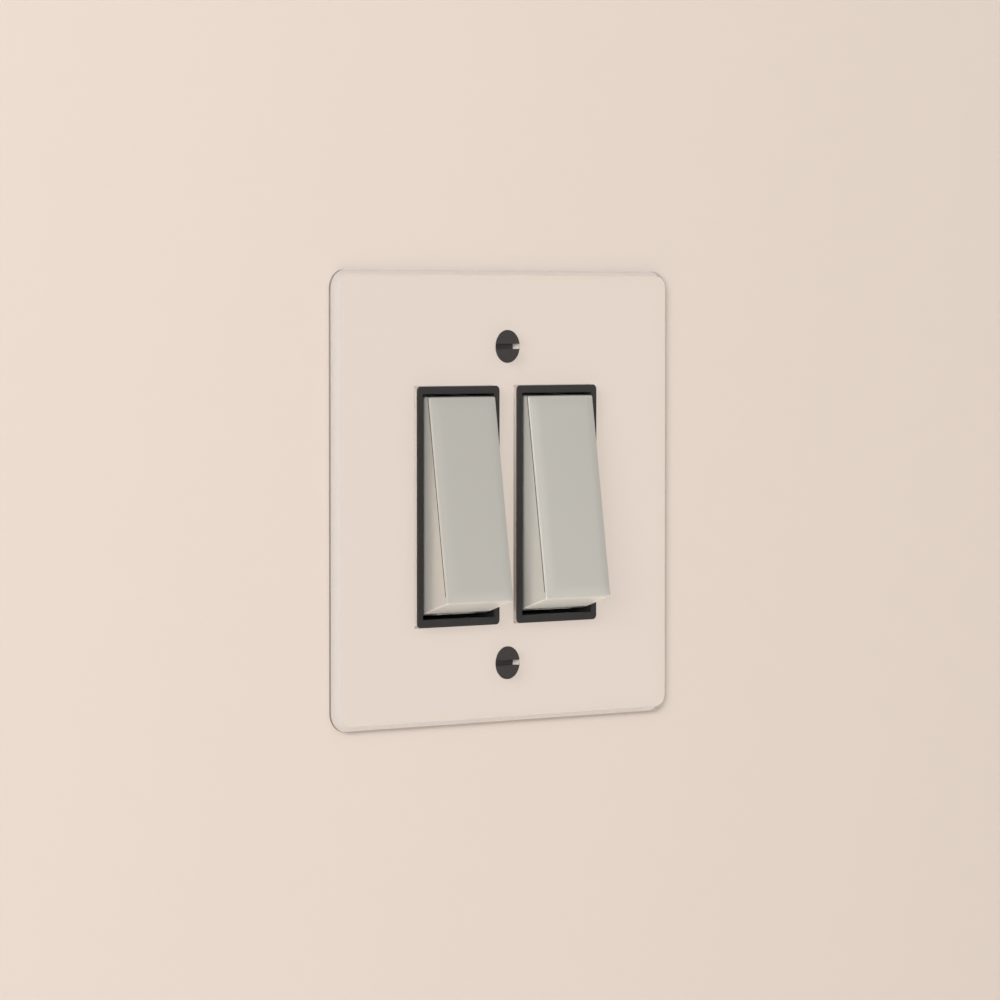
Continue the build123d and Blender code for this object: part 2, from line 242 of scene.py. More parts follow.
class SwitchMetalLooks(bpy.types.PropertyGroup):
    """Finish of the terminals, contacts and springs."""

    brass: colour_property("Brass", "Machined brass of the terminals and bars", "#CDA85C")
    silver: colour_property("Silver", "Silver alloy of the contact tips", "#D8D7D2")
    zinc: colour_property("Zinc", "Zinc plating of the terminal screws", "#BFC3C4")
    spring: colour_property("Spring steel", "Drawn wire of the springs", "#9C9A96")
    spring_radius: bpy.props.FloatProperty(
        name="Spring radius", description="Radius of the coil at the middle of its wire",
        default=1.1 * MM, unit="LENGTH")
    spring_wire: bpy.props.FloatProperty(
        name="Spring wire", description="Diameter of the spring's wire", default=0.36 * MM, unit="LENGTH")
    spring_turns: bpy.props.IntProperty(
        name="Spring turns", description="Number of turns in a spring", default=5, min=1)
    spring_start: bpy.props.FloatProperty(
        name="Spring start", description="How far behind the rocker's pivot the coil starts",
        default=1.17 * MM, unit="LENGTH")
    spring_length: bpy.props.FloatProperty(
        name="Spring length", description="Length of the coil along the plunger",
        default=5.64 * MM, unit="LENGTH")


class SwitchStageLooks(bpy.types.PropertyGroup):
    """Wall, light and camera."""

    wall_colour: colour_property("Wall", "Plain painted wall behind the plate", "#E6D8CD")
    floor_colour: colour_property("Floor", "Plain floor below the switch", "#E9E3DC")
    sky_colour: colour_property("Surround", "Light of the room all round", "#FFFFFF")
    sky_level: bpy.props.FloatProperty(
        name="Surround level", description="Brightness of the room all round", default=0.45, min=0)
    backdrop_level: bpy.props.FloatProperty(
        name="Backdrop level", description="Brightness of the room to the eye, in metal and through glass",
        default=0.6, min=0)
    azimuth: bpy.props.FloatProperty(
        name="Azimuth", description="Camera's turn to the right about the vertical",
        default=math.radians(-42.563), subtype="ANGLE")
    elevation: bpy.props.FloatProperty(
        name="Elevation", description="Camera's height above the horizon",
        default=math.radians(2.016), subtype="ANGLE")
    distance: bpy.props.FloatProperty(
        name="Distance", description="Camera's distance from its aim", default=1.0175, unit="LENGTH")
    lens: bpy.props.FloatProperty(
        name="Lens", description="Focal length in millimetres on a 36 mm sensor", default=191.97)
    aim: bpy.props.FloatVectorProperty(
        name="Aim", description="Point that the camera looks at",
        default=(0.04 * MM, 0, 0.84 * MM), subtype="TRANSLATION")


def clear_acrylic(looks):
    """Cast acrylic sheet, bevelled and polished: clear faces, edges that look faintly grey, and a painted
    contact shadow line round the back of the outer edge.
    """
    outer_reach = 40 * MM
    bevel_facing = 0.9
    edge_facing = 0.3
    back_margin = 0.05 * MM
    matt_share = 0.95
    shade_inside = 0.3
    # How much of the painted contact shadow shows from inside the plate.
    contact_shadow_inside = 0.1
    haze_size = 9
    material = empty_material("cast_acrylic_polished")
    tree = material.node_tree
    place = add(tree, "ShaderNodeTexCoord")
    middle = sum((Vector(corner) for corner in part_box("face_plate")), Vector()) / 2
    centred = add(tree, "ShaderNodeVectorMath", {
        0: place.outputs["Object"], 1: middle[:]}, operation="SUBTRACT")
    split = add(tree, "ShaderNodeSeparateXYZ", {"Vector": centred.outputs["Vector"]})
    across = add(tree, "ShaderNodeMath", {0: split.outputs["X"]}, operation="ABSOLUTE")
    up = add(tree, "ShaderNodeMath", {0: split.outputs["Z"]}, operation="ABSOLUTE")
    reach = add(tree, "ShaderNodeMath", {0: across.outputs[0], 1: up.outputs[0]}, operation="MAXIMUM")
    outer = add(tree, "ShaderNodeMath", {0: reach.outputs[0], 1: outer_reach}, operation="GREATER_THAN")
    surface = add(tree, "ShaderNodeNewGeometry")
    turn = add(tree, "ShaderNodeSeparateXYZ", {"Vector": surface.outputs["True Normal"]})
    facing = add(tree, "ShaderNodeMath", {0: turn.outputs["Y"]}, operation="ABSOLUTE")
    rim = add(tree, "ShaderNodeMath", {0: facing.outputs[0], 1: bevel_facing}, operation="LESS_THAN")
    side = add(tree, "ShaderNodeMath", {0: facing.outputs[0], 1: edge_facing}, operation="LESS_THAN")
    path = add(tree, "ShaderNodeLightPath")
    # The back lies against the wall, so light goes straight on there, and on its way out of the front.
    back = add(tree, "ShaderNodeMath", {0: split.outputs["Y"], 1: -middle.y - back_margin},
               operation="GREATER_THAN")
    lamplight = add(tree, "ShaderNodeMath", {
        0: path.outputs["Is Shadow Ray"], 1: path.outputs["Is Diffuse Ray"]}, operation="MAXIMUM")
    leaving = add(tree, "ShaderNodeMath", {
        0: back.outputs[0], 1: surface.outputs["Backfacing"]}, operation="MAXIMUM")
    straight = add(tree, "ShaderNodeMath", {
        0: leaving.outputs[0], 1: lamplight.outputs[0]}, operation="MAXIMUM")
    # Light that has to come in through an edge is mostly turned aside, which darkens a line along that edge.
    shade = add(tree, "ShaderNodeMapRange", {
        "Value": surface.outputs["Backfacing"],
        "To Min": looks.edge_shade,
        "To Max": looks.edge_shade * shade_inside,
    })
    wall = add(tree, "ShaderNodeMath", {0: side.outputs[0], 1: outer.outputs[0]}, operation="MULTIPLY")
    blocked = add(tree, "ShaderNodeMath", {
        0: wall.outputs[0], 1: shade.outputs["Result"]}, operation="MULTIPLY")
    # The cut-outs and screw holes are left matt from the saw and hide what is behind them.
    matt = add(tree, "ShaderNodeMapRange", {
        "Value": outer.outputs[0], "To Min": matt_share, "To Max": looks.edge_haze_share})
    cover = add(tree, "ShaderNodeMix", {
        "Factor": lamplight.outputs[0], "A": matt.outputs["Result"], "B": blocked.outputs[0]})
    # Painted contact shadow: a dark grey strip round the back of the outer edge, where the plate meets the
    # wall, stands in for the thin shadow line there.
    near = add(tree, "ShaderNodeMath", {0: split.outputs["Y"], 1: -middle.y - looks.contact_shadow_width},
               operation="GREATER_THAN")
    line = add(tree, "ShaderNodeMath", {0: near.outputs[0], 1: wall.outputs[0]}, operation="MULTIPLY")
    depth = add(tree, "ShaderNodeMapRange", {
        "Value": surface.outputs["Backfacing"],
        "To Min": looks.contact_shadow_share,
        "To Max": looks.contact_shadow_share * contact_shadow_inside,
    })
    dark = add(tree, "ShaderNodeMath", {
        0: line.outputs[0], 1: depth.outputs["Result"]}, operation="MULTIPLY")
    haze = add(tree, "ShaderNodeTexNoise", {
        "Vector": place.outputs["Object"],
        "Scale": per_metre(haze_size),
        "Detail": 3,
    })
    polish = add(tree, "ShaderNodeMapRange", {
        "Value": haze.outputs["Fac"],
        "To Min": looks.acrylic_roughness * 0.4,
        "To Max": looks.acrylic_roughness * 1.6,
    })
    glass = add(tree, "ShaderNodeBsdfPrincipled", {
        "Base Color": opaque(looks.acrylic_tint),
        "Roughness": polish.outputs["Result"],
        "IOR": ACRYLIC_IOR,
        "Transmission Weight": 1.0,
    })
    edge_tone = add(tree, "ShaderNodeMix", {
        "Factor": outer.outputs[0],
        "A": opaque(looks.cut_edge),
        "B": opaque(looks.edge_haze),
    }, data_type="RGBA")
    veil = add(tree, "ShaderNodeBsdfPrincipled", {
        "Base Color": edge_tone.outputs["Result"],
        "Roughness": 0.3,
        "IOR": ACRYLIC_IOR,
    })
    # Dark grey of the painted contact shadow.
    contact_shadow_paint = add(tree, "ShaderNodeBsdfDiffuse", {"Color": opaque(looks.contact_shadow_grey)})
    clear = add(tree, "ShaderNodeBsdfTransparent")
    face = add(tree, "ShaderNodeMixShader", {
        0: straight.outputs[0], 1: glass.outputs[0], 2: clear.outputs[0]})
    edge = add(tree, "ShaderNodeMixShader", {
        0: cover.outputs["Result"], 1: clear.outputs[0], 2: veil.outputs[0]})
    whole = add(tree, "ShaderNodeMixShader", {0: rim.outputs[0], 1: face.outputs[0], 2: edge.outputs[0]})
    drawn = add(tree, "ShaderNodeMixShader", {
        0: dark.outputs[0], 1: whole.outputs[0], 2: contact_shadow_paint.outputs[0]})
    add(tree, "ShaderNodeOutputMaterial", {"Surface": drawn.outputs[0]})
    return material


def blackened_steel(looks):
    """Blackened turned steel: nearly black with a dull sheen, and fine rings left by the lathe."""
    material = empty_material("blackened_steel_turned")
    tree = material.node_tree
    place = add(tree, "ShaderNodeTexCoord")
    split = add(tree, "ShaderNodeSeparateXYZ", {"Vector": place.outputs["Object"]})
    height = add(tree, "ShaderNodeMath", {0: split.outputs["Z"]}, operation="ABSOLUTE")
    level = add(tree, "ShaderNodeMath", {
        0: height.outputs[0], 1: looks.screw_centres / 2}, operation="SUBTRACT")
    centred = add(tree, "ShaderNodeCombineXYZ", {"X": split.outputs["X"], "Z": level.outputs[0]})
    radius = add(tree, "ShaderNodeVectorMath", {0: centred.outputs[0]}, operation="LENGTH")
    turns = add(tree, "ShaderNodeMath", {
        0: radius.outputs["Value"],
        1: 2 * math.pi / looks.turning_pitch,
    }, operation="MULTIPLY")
    rings = add(tree, "ShaderNodeMath", {0: turns.outputs[0]}, operation="SINE")
    speckle = add(tree, "ShaderNodeTexNoise", {
        "Vector": place.outputs["Object"],
        "Scale": per_metre(0.4),
        "Detail": 4,
    })
    mix = add(tree, "ShaderNodeMath", {0: rings.outputs[0], 1: 0.25, 2: speckle.outputs["Fac"]},
              operation="MULTIPLY_ADD")
    tone = add(tree, "ShaderNodeMapRange", {
        "Value": speckle.outputs["Fac"], "From Min": 0.3, "From Max": 0.7, "To Min": 0.85, "To Max": 1.15})
    colour = add(tree, "ShaderNodeVectorMath", {
        0: looks.screw_black[:], "Scale": tone.outputs["Result"]}, operation="SCALE")
    relief = add(tree, "ShaderNodeBump", {
        "Strength": 0.25, "Distance": 0.02 * MM, "Height": mix.outputs[0]})
    shader = add(tree, "ShaderNodeBsdfPrincipled", {
        "Base Color": colour.outputs["Vector"],
        "Roughness": 0.5,
        "IOR": PLASTIC_IOR,
        "Normal": relief.outputs["Normal"],
    })
    add(tree, "ShaderNodeOutputMaterial", {"Surface": shader.outputs["BSDF"]})
    return material


def spark_moulding(name, colour, size, roughness):
    """Thermoplastic moulded in a spark-eroded tool: even colour, matt, with a fine pebbled skin."""
    material = empty_material(name)
    tree = material.node_tree
    place = add(tree, "ShaderNodeTexCoord")
    pebble = add(tree, "ShaderNodeTexNoise", {
        "Vector": place.outputs["Object"],
        "Scale": per_metre(size / MM),
        "Detail": 5,
        "Roughness": 0.6,
    })
    flow = add(tree, "ShaderNodeTexNoise", {
        "Vector": place.outputs["Object"],
        "Scale": per_metre(6),
        "Detail": 2,
    })
    tint = add(tree, "ShaderNodeMix", {
        "Factor": flow.outputs["Fac"],
        "A": shaded(colour, 0.9),
        "B": shaded(colour, 1.1),
    }, data_type="RGBA")
    gloss = add(tree, "ShaderNodeMapRange", {
        "Value": pebble.outputs["Fac"],
        "To Min": roughness - 0.08,
        "To Max": roughness + 0.08,
    })
    relief = add(tree, "ShaderNodeBump", {
        "Strength": 0.3, "Distance": 0.02 * MM, "Height": pebble.outputs["Fac"]})
    shader = add(tree, "ShaderNodeBsdfPrincipled", {
        "Base Color": tint.outputs["Result"],
        "Roughness": gloss.outputs["Result"],
        "IOR": PLASTIC_IOR,
        "Normal": relief.outputs["Normal"],
    })
    add(tree, "ShaderNodeOutputMaterial", {"Surface": shader.outputs["BSDF"]})
    return material


def joint_row(name):
    """A joint's row in the record."""
    return next(joint for joint in frame["record"]["behaviour"]["joints"] if joint["name"] == name)


def rocker_lines(side):
    """A rocker's pivot, the line square to its face and the line up its face, at rest."""
    swing = joint_row(f"{side}_rocker_swing")
    tilt = math.radians(swing["range_deg"][1] / 2)
    out = Vector((0, -math.cos(tilt), math.sin(tilt)))
    along = Vector((0, math.sin(tilt), math.cos(tilt)))
    return Vector(swing["pos_m"]), out, along


def satin_nickel(looks):
    """Nickel plate, bead blasted and lightly brushed: soft even reflections, and painted shade in the fine
    seam groove.
    """
    material = empty_material("satin_nickel_brushed")
    tree = material.node_tree
    place = add(tree, "ShaderNodeTexCoord")
    # Real brush lines are about 0.05 mm wide, and are drawn coarser so that they show.
    stretch = add(tree, "ShaderNodeMapping", {
        "Vector": place.outputs["Object"],
        "Scale": (1 / looks.grain_width, 1 / looks.grain_width, 1 / looks.grain_length),
    })
    lines = add(tree, "ShaderNodeTexNoise", {
        "Vector": stretch.outputs["Vector"], "Scale": 1.0, "Detail": 3, "Roughness": 0.7})
    tint = add(tree, "ShaderNodeMix", {
        "Factor": lines.outputs["Fac"],
        "A": shaded(looks.nickel, 0.98),
        "B": shaded(looks.nickel, 1.02),
    }, data_type="RGBA")
    pivot, out, along = rocker_lines("left")
    level = out.dot(pivot) + looks.face_height - looks.seam_depth
    height = add(tree, "ShaderNodeVectorMath", {
        0: place.outputs["Object"], 1: out[:]}, operation="DOT_PRODUCT")
    band = add(tree, "ShaderNodeMath", {0: height.outputs["Value"], 1: level, 2: looks.seam_width / 2},
               operation="COMPARE")
    travel = add(tree, "ShaderNodeVectorMath", {
        0: place.outputs["Object"], 1: along[:]}, operation="DOT_PRODUCT")
    centre = along.dot(pivot)
    started = add(tree, "ShaderNodeMath", {
        0: travel.outputs["Value"], 1: centre - looks.face_length / 2 + looks.seam_stop},
        operation="GREATER_THAN")
    low, high = (Vector(corner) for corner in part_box("left_rocker_cap"))
    split = add(tree, "ShaderNodeSeparateXYZ", {"Vector": place.outputs["Object"]})
    outward = add(tree, "ShaderNodeMath", {0: split.outputs["X"]}, operation="ABSOLUTE")
    moved = add(tree, "ShaderNodeMath", {
        0: outward.outputs[0], 1: -(low.x + high.x) / 2}, operation="SUBTRACT")
    across = add(tree, "ShaderNodeMath", {0: moved.outputs[0]}, operation="ABSOLUTE")
    beside = add(tree, "ShaderNodeMath", {
        0: across.outputs[0], 1: (high.x - low.x) / 2 - looks.seam_width * 1.5}, operation="GREATER_THAN")
    flanked = add(tree, "ShaderNodeMath", {
        0: started.outputs[0], 1: beside.outputs[0]}, operation="MULTIPLY")
    seam = add(tree, "ShaderNodeMath", {0: band.outputs[0], 1: flanked.outputs[0]}, operation="MULTIPLY")
    # Painted shade: the seam groove down each long side, stopping short of the lower end, is painted at
    # three tenths of the nickel for the shade in it.
    seam_shade_painted = add(tree, "ShaderNodeMix", {
        "Factor": seam.outputs[0],
        "A": tint.outputs["Result"],
        "B": shaded(looks.nickel, 0.3),
    }, data_type="RGBA")
    gloss = add(tree, "ShaderNodeMapRange", {
        "Value": lines.outputs["Fac"],
        "To Min": looks.nickel_roughness - 0.04,
        "To Max": looks.nickel_roughness + 0.04,
    })
    relief = add(tree, "ShaderNodeBump", {
        "Strength": 0.05,
        "Distance": 0.01 * MM,
        "Height": lines.outputs["Fac"],
    })
    shader = add(tree, "ShaderNodeBsdfPrincipled", {
        "Base Color": seam_shade_painted.outputs["Result"],
        "Metallic": looks.nickel_metallic,
        "Roughness": gloss.outputs["Result"],
        "Normal": relief.outputs["Normal"],
    })
    add(tree, "ShaderNodeOutputMaterial", {"Surface": shader.outputs["BSDF"]})
    return material


def worked_metal(name, colour, roughness, mark, depth):
    """Plain metal with small tool marks: mottled brightness and roughness at the size of the marks."""
    material = empty_material(name)
    tree = material.node_tree
    place = add(tree, "ShaderNodeTexCoord")
    marks = add(tree, "ShaderNodeTexNoise", {
        "Vector": place.outputs["Object"],
        "Scale": per_metre(mark),
        "Detail": 4,
        "Distortion": 0.6,
    })
    tint = add(tree, "ShaderNodeMix", {
        "Factor": marks.outputs["Fac"],
        "A": shaded(colour, 0.82),
        "B": shaded(colour, 1.1),
    }, data_type="RGBA")
    gloss = add(tree, "ShaderNodeMapRange", {
        "Value": marks.outputs["Fac"],
        "To Min": roughness + 0.1,
        "To Max": roughness - 0.1,
    })
    relief = add(tree, "ShaderNodeBump", {
        "Strength": 0.3, "Distance": depth * MM, "Height": marks.outputs["Fac"]})
    shader = add(tree, "ShaderNodeBsdfPrincipled", {
        "Base Color": tint.outputs["Result"],
        "Metallic": 1.0,
        "Roughness": gloss.outputs["Result"],
        "Normal": relief.outputs["Normal"],
    })
    add(tree, "ShaderNodeOutputMaterial", {"Surface": shader.outputs["BSDF"]})
    return material


class SWITCH_OT_clear_plate(bpy.types.Operator):
    """Finish the clear plate."""

    bl_idname = "switch.clear_plate"
    bl_label = "Clear plate"

    def execute(self, context):
        dress(["face_plate"], clear_acrylic(context.scene.switch_plate))
        return {"FINISHED"}


def screw_thread(start, end, looks):
    """One screw thread along +Y as a sheet on rows and columns.

    Columns go round the axis clockwise seen from the head and rows go along it. Each column lies a little
    further along than the last, so that a full turn is one pitch, and the last column meets the first one
    pitch on. The radius is the root plus the depth times a clipped triangle wave of the row's place within
    its pitch, no more than a cone at the tip, and nothing beyond either end, which closes the ends.
    """
    steps = 8
    columns = 40
    root_flat = 0.2
    flank_share = 0.65
    tip_share = 0.85
    pitch = looks.thread_pitch
    root = looks.shank_radius - looks.thread_depth
    rows = steps * (math.ceil((end - start) / pitch) + 2)
    row = np.arange(rows)[:, None]
    column = np.arange(columns)[None, :]
    along = start + pitch * (row / steps - 1 + column / columns)
    wave = np.abs(2 * (row % steps) / steps - 1)
    radius = root + looks.thread_depth * np.clip((wave - root_flat) / flank_share, 0, 1)
    radius = np.where(along < start + pitch / 2, looks.shank_radius, radius)
    radius = np.minimum(radius, tip_share * root + np.maximum(end - along, 0))
    radius = np.where((along < start) | (along > end), 0, radius)
    turn = 2 * math.pi * column / columns
    points = np.stack([radius * np.cos(turn), np.clip(along, start, end), -radius * np.sin(turn)], axis=-1)
    beside = (column + 1) % columns
    onward = row + np.where(column + 1 == columns, steps, 0)
    corners = np.stack([
        row * columns + column,
        onward * columns + beside,
        (onward + 1) * columns + beside,
        (row + 1) * columns + column,
    ], axis=-1)
    kept = (row + 1 < rows) & (onward + 1 < rows)
    return points.reshape(-1, 3), corners[kept]


def merged_piece(name, points, faces):
    """An object with these points and faces: doubles merged, holes shut, and round parts smooth."""
    mesh = bpy.data.meshes.new(name)
    mesh.from_pydata(points.tolist(), [], faces)
    work = bmesh.new()
    work.from_mesh(mesh)
    bmesh.ops.delete(work, geom=[point for point in work.verts if not point.link_faces], context="VERTS")
    bmesh.ops.remove_doubles(work, verts=work.verts, dist=MERGE_DISTANCE)
    bmesh.ops.holes_fill(work, edges=[edge for edge in work.edges if edge.is_boundary])
    bmesh.ops.recalc_face_normals(work, faces=work.faces)
    work.to_mesh(mesh)
    work.free()
    mesh.shade_smooth()
    mesh.set_sharp_from_angle(angle=ROUND_ANGLE)
    return linked_object(name, mesh)


def coil_spring(name, side, looks):
    """A coil of round wire: a helix about the plunger's line with a ring of points about each of its points.

    The angle and the rise grow evenly along the helix. A ring lies on the line away from the coil's axis and
    on the line square to that and to the wire. Its radius is the wire's, or nothing at either end, which
    closes the coil.
    """
    steps_a_turn = 36
    steps = steps_a_turn * looks.spring_turns
    sides = 10
    pivot, out, along = (np.array(line) for line in rocker_lines(side))
    across = np.array((1.0, 0.0, 0.0))
    share = np.concatenate(([0], np.linspace(0, 1, steps + 1), [1]))[:, None]
    angle = 2 * math.pi * looks.spring_turns * share
    radial = np.cos(angle) * across + np.sin(angle) * along
    round_way = 2 * math.pi * looks.spring_turns * looks.spring_radius
    wire = round_way * (np.cos(angle) * along - np.sin(angle) * across) + looks.spring_length * out
    square = np.cross(wire / np.linalg.norm(wire, axis=1, keepdims=True), radial)
    middle = pivot + looks.spring_radius * radial + (looks.spring_length * share - looks.spring_start) * out
    size = np.full((steps + 3, 1, 1), looks.spring_wire / 2)
    size[[0, -1]] = 0
    turn = (2 * math.pi * np.arange(sides) / sides)[None, :, None]
    ring = np.cos(turn) * radial[:, None] + np.sin(turn) * square[:, None]
    points = (middle[:, None] + size * ring).reshape(-1, 3)
    row = np.arange(steps + 2)[:, None] * sides
    column = np.arange(sides)[None, :]
    beside = (column + 1) % sides
    corners = np.stack([row + column, row + beside, row + sides + beside, row + sides + column], axis=-1)
    return merged_piece(name, points, corners.reshape(-1, 4).tolist())


def threaded_screws(looks):
    """The CAD screws' heads and necks, with a cut thread in place of each plain shank."""
    source = frame["nodes"]["plate_screws"].data
    solid = mesh_points(source)
    order = np.empty(len(source.loops), dtype=np.int64)
    source.loops.foreach_get("vertex_index", order)
    triangles = order.reshape(-1, 3)
    heads = triangles[(solid[triangles][:, :, 1] < PLANE_DISTANCE).all(axis=1)]
    points, corners = screw_thread(0.0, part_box("plate_screws")[1][1], looks)
    rise = np.array([(0, 0, looks.screw_centres / 2)])
    count = len(solid)
    return merged_piece(
        "fixing_screws",
        np.concatenate([solid, points + rise, points - rise]),
        heads.tolist() + (corners + count).tolist() + (corners + count + len(points)).tolist())


class SWITCH_OT_plate_screws(bpy.types.Operator):
    """Cut the thread of the two fixing screws and finish them."""

    bl_idname = "switch.plate_screws"
    bl_label = "Fixing screws"

    def execute(self, context):
        looks = context.scene.switch_plate
        screws = threaded_screws(looks)
        screws.data.materials.append(blackened_steel(looks))
        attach(screws, "plate_body")
        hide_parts("plate_screws")
        return {"FINISHED"}


class SWITCH_OT_mouldings(bpy.types.Operator):
    """Finish the housings, carriers, bases and plungers."""

    bl_idname = "switch.mouldings"
    bl_label = "Mouldings"

    def execute(self, context):
        looks = context.scene.switch_moulding
        black = spark_moulding("black_moulding_spark_finish", looks.frame_black, looks.spark_size, 0.6)
        grey = spark_moulding("grey_moulding_spark_finish", looks.base_grey, looks.spark_size, 0.6)
        nylon = spark_moulding("nylon_moulded", looks.nylon_white, looks.spark_size, 0.45)
        for side in SIDES:
            dress([f"{side}_housing", f"{side}_rocker_carrier"], black)
            dress([f"{side}_base"], grey)
            dress([f"{side}_plunger"], nylon)
        return {"FINISHED"}


def pressed_cap(side, looks):
    """The CAD cap with its flat face raised: the rise times one parabola across the face and one along it.

    Each parabola is 1 on the middle of the face and falls to nothing at the edges, over the fall width, so
    the edges, the seams and the ends stay where the solid has them.
    """
    steps = 6
    pivot, out, along = rocker_lines(side)
    across = Vector((1, 0, 0))
    width = looks.fall_width
    low, high = (Vector(corner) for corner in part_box(f"{side}_rocker_cap"))
    halves = ((across, (high.x - low.x) / 2), (along, looks.face_length / 2))
    work = bmesh.new()
    work.from_mesh(frame["nodes"][f"{side}_rocker_cap"].data)
    bmesh.ops.remove_doubles(work, verts=work.verts, dist=MERGE_DISTANCE)
    level = out.dot(pivot) + looks.face_height

    def flat_faces():
        """The faces that make up the flat front."""
        return [
            face for face in work.faces
            if all(abs(out.dot(point.co) - level) < PLANE_DISTANCE for point in face.verts)
        ]

    bmesh.ops.dissolve_faces(work, faces=flat_faces())
    for line, half in halves:
        for step in range(steps):
            for sign in (-1, 1):
                faces = flat_faces()
                edges = {edge for face in faces for edge in face.edges}
                points = {point for face in faces for point in face.verts}
                place = pivot + sign * (half - width * (1 - step / steps)) * line
                geom = [*faces, *edges, *points]
                bmesh.ops.bisect_plane(work, geom=geom, dist=CUT_DISTANCE, plane_co=place, plane_no=line)
    name = f"{side}_pressed_cap"
    mesh = bpy.data.meshes.new(name)
    work.to_mesh(mesh)
    work.free()
    places = mesh_points(mesh)
    away = places - np.array(pivot)
    lift = np.where(away @ np.array(out) > looks.face_height - looks.edge_radius, looks.face_rise, 0)
    for line, half in halves:
        past = np.clip((np.abs(away @ np.array(line)) - half) / width + 1, 0, 1)
        lift = lift * (1 - past ** 2)
    mesh.vertices.foreach_set("co", (places + lift[:, None] * np.array(out)).ravel())
    mesh.shade_smooth()
    mesh.set_sharp_from_angle(angle=PRESSED_ANGLE)
    return linked_object(name, mesh)


class SWITCH_OT_rocker_caps(bpy.types.Operator):
    """Press the faces of the two rocker caps and finish them."""

    bl_idname = "switch.rocker_caps"
    bl_label = "Rocker caps"

    def execute(self, context):
        looks = context.scene.switch_rocker
        nickel = satin_nickel(looks)
        for side in SIDES:
            cap = pressed_cap(side, looks)
            cap.data.materials.append(nickel)
            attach(cap, f"{side}_rocker")
            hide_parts(f"{side}_rocker_cap")
        return {"FINISHED"}


class SWITCH_OT_contacts(bpy.types.Operator):
    """Finish the terminals, their screws and the contacts."""

    bl_idname = "switch.contacts"
    bl_label = "Terminals and contacts"

    def execute(self, context):
        looks = context.scene.switch_metal
        brass = worked_metal("brass_machined", looks.brass, 0.32, 0.8, 0.02)
        silver = worked_metal("silver_alloy_pressed", looks.silver, 0.4, 0.4, 0.01)
        zinc = worked_metal("steel_zinc_plated", looks.zinc, 0.3, 0.6, 0.01)
        dress(["terminal_screws"], zinc)
        for side in SIDES:
            dress([f"{side}_{end}_terminal" for end in ("common", "upper", "lower")], brass)
            dress([f"{side}_contact_bar"], brass)
            dress([f"{side}_fixed_tips", f"{side}_moving_tips"], silver)
        return {"FINISHED"}


class SWITCH_OT_springs(bpy.types.Operator):
    """Wind the two plunger springs."""

    bl_idname = "switch.springs"
    bl_label = "Plunger springs"

    def execute(self, context):
        looks = context.scene.switch_metal
        steel = worked_metal("spring_steel_drawn", looks.spring, 0.35, 0.3, 0.005)
        for side in SIDES:
            coil = coil_spring(f"{side}_coil", side, looks)
            coil.data.materials.append(steel)
            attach(coil, f"{side}_rocker")
            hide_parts(f"{side}_plunger_spring")
            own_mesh(coil)
        return {"FINISHED"}


def pierced_wall(name, half, depth, lows, highs):
    """An upright sheet facing -Y with an oblong hole for each pair of low and high corners.

    The holes' edges and the sheet's own cut it into a grid. Every grid point lies at one depth, and each
    cell becomes a face unless its middle lies inside a hole.
    """
    across = np.unique(np.concatenate(([-half, half], lows[:, 0], highs[:, 0])))
    up = np.unique(np.concatenate(([-half, half], lows[:, 1], highs[:, 1])))
    x, z = np.meshgrid(across, up)
    points = np.stack([x.ravel(), np.full(x.size, depth), z.ravel()], axis=1)
    number = np.arange(x.size).reshape(x.shape)
    corners = [number[:-1, :-1], number[:-1, 1:], number[1:, 1:], number[1:, :-1]]
    cells = np.stack(corners, axis=-1).reshape(-1, 4)
    middles = points[cells].mean(axis=1)[:, [0, 2]]
    inside = ((middles[:, None] > lows) & (middles[:, None] < highs)).all(axis=2).any(axis=1)
    mesh = bpy.data.meshes.new(name)
    mesh.from_pydata(points.tolist(), [], cells[~inside].tolist())
    return linked_object(name, mesh)


def level_sheet(name, half, height):
    """A square sheet facing up: every corner is the half size times plus or minus one, at one height."""
    corners = np.array([(-1, -1, 0), (1, -1, 0), (1, 1, 0), (-1, 1, 0)]) * half + (0, 0, height)
    mesh = bpy.data.meshes.new(name)
    mesh.from_pydata(corners.tolist(), [], [(0, 1, 2, 3)])
    return linked_object(name, mesh)


def seen_directly(tree):
    """The node that is 1 for what is seen straight, in metal or through glass, and 0 for bounced light."""
    path = add(tree, "ShaderNodeLightPath")
    direct = add(tree, "ShaderNodeMath", {
        0: path.outputs["Is Camera Ray"], 1: path.outputs["Is Glossy Ray"]}, operation="MAXIMUM")
    return add(tree, "ShaderNodeMath", {
        0: direct.outputs[0], 1: path.outputs["Is Transmission Ray"]}, operation="MAXIMUM")


